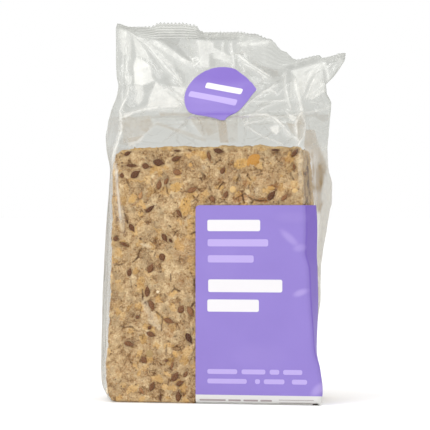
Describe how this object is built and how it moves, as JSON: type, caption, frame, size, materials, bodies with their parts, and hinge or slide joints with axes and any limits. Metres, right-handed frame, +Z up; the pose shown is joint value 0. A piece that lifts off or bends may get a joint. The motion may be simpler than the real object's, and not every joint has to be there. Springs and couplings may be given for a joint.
{
  "type": "crispbread in a clear film bag",
  "caption": "Upright clear film bag of seeded crispbread slices, with a crumpled top flap, a crimped seal, a wrapped purple label and a round sticker.",
  "frame": {"origin": "middle of the base, on the surface that the pack stands on", "axes": "+X to the viewer's right, +Y away from the viewer through the stack of slices, +Z up"},
  "size_m": [0.1159, 0.0477, 0.1792],
  "materials": {
    "film": "gloss",
    "label_paper": "satin",
    "sticker_paper": "satin",
    "crispbread": "matte",
    "seeds": "satin"
  },
  "bodies": {
    "root": {"bag": "film", "label": "label_paper", "sticker": "sticker_paper"}
  },
  "joints": []
}
